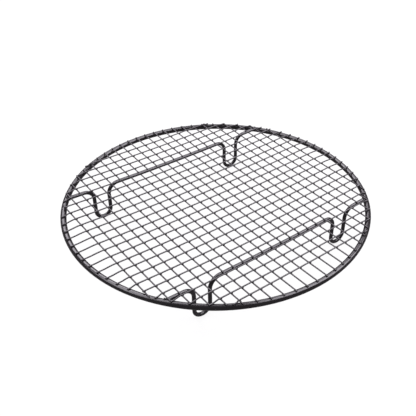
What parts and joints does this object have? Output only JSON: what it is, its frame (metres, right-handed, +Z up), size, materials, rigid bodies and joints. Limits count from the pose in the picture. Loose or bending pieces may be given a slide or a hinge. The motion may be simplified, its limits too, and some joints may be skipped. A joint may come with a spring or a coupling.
{
  "type": "cooling rack",
  "caption": "Round wire cooling rack: a thick rim, a square welded mesh that dishes slightly, and under-wires bent into U feet, in dark non-stick coating.",
  "frame": {"origin": "on the resting plane, under the centre of the rim", "axes": "+Z up out of the mesh; +X along the top wires and the foot wires; +Y along the cross wires"},
  "size_m": [0.32, 0.32, 0.0458],
  "materials": {
    "nonstick_coating": "satin dark charcoal non-stick coating on steel wire"
  },
  "bodies": {
    "root": {"rim_ring": "nonstick_coating", "front_foot_wire": "nonstick_coating", "rear_foot_wire": "nonstick_coating", "cross_wire_01": "nonstick_coating", "cross_wire_02": "nonstick_coating", "cross_wire_03": "nonstick_coating", "cross_wire_04": "nonstick_coating", "cross_wire_05": "nonstick_coating", "cross_wire_06": "nonstick_coating", "cross_wire_07": "nonstick_coating", "cross_wire_08": "nonstick_coating", "cross_wire_09": "nonstick_coating", "cross_wire_10": "nonstick_coating", "cross_wire_11": "nonstick_coating", "cross_wire_12": "nonstick_coating", "cross_wire_13": "nonstick_coating", "cross_wire_14": "nonstick_coating", "cross_wire_15": "nonstick_coating", "cross_wire_16": "nonstick_coating", "cross_wire_17": "nonstick_coating", "cross_wire_18": "nonstick_coating", "cross_wire_19": "nonstick_coating", "cross_wire_20": "nonstick_coating", "cross_wire_21": "nonstick_coating", "cross_wire_22": "nonstick_coating", "cross_wire_23": "nonstick_coating", "cross_wire_24": "nonstick_coating", "top_wire_01": "nonstick_coating", "top_wire_02": "nonstick_coating", "top_wire_03": "nonstick_coating", "top_wire_04": "nonstick_coating", "top_wire_05": "nonstick_coating", "top_wire_06": "nonstick_coating", "top_wire_07": "nonstick_coating", "top_wire_08": "nonstick_coating", "top_wire_09": "nonstick_coating", "top_wire_10": "nonstick_coating", "top_wire_11": "nonstick_coating", "top_wire_12": "nonstick_coating", "top_wire_13": "nonstick_coating", "top_wire_14": "nonstick_coating", "top_wire_15": "nonstick_coating", "top_wire_16": "nonstick_coating", "top_wire_17": "nonstick_coating", "top_wire_18": "nonstick_coating", "top_wire_19": "nonstick_coating", "top_wire_20": "nonstick_coating", "top_wire_21": "nonstick_coating", "top_wire_22": "nonstick_coating", "top_wire_23": "nonstick_coating", "top_wire_24": "nonstick_coating"}
  },
  "joints": []
}
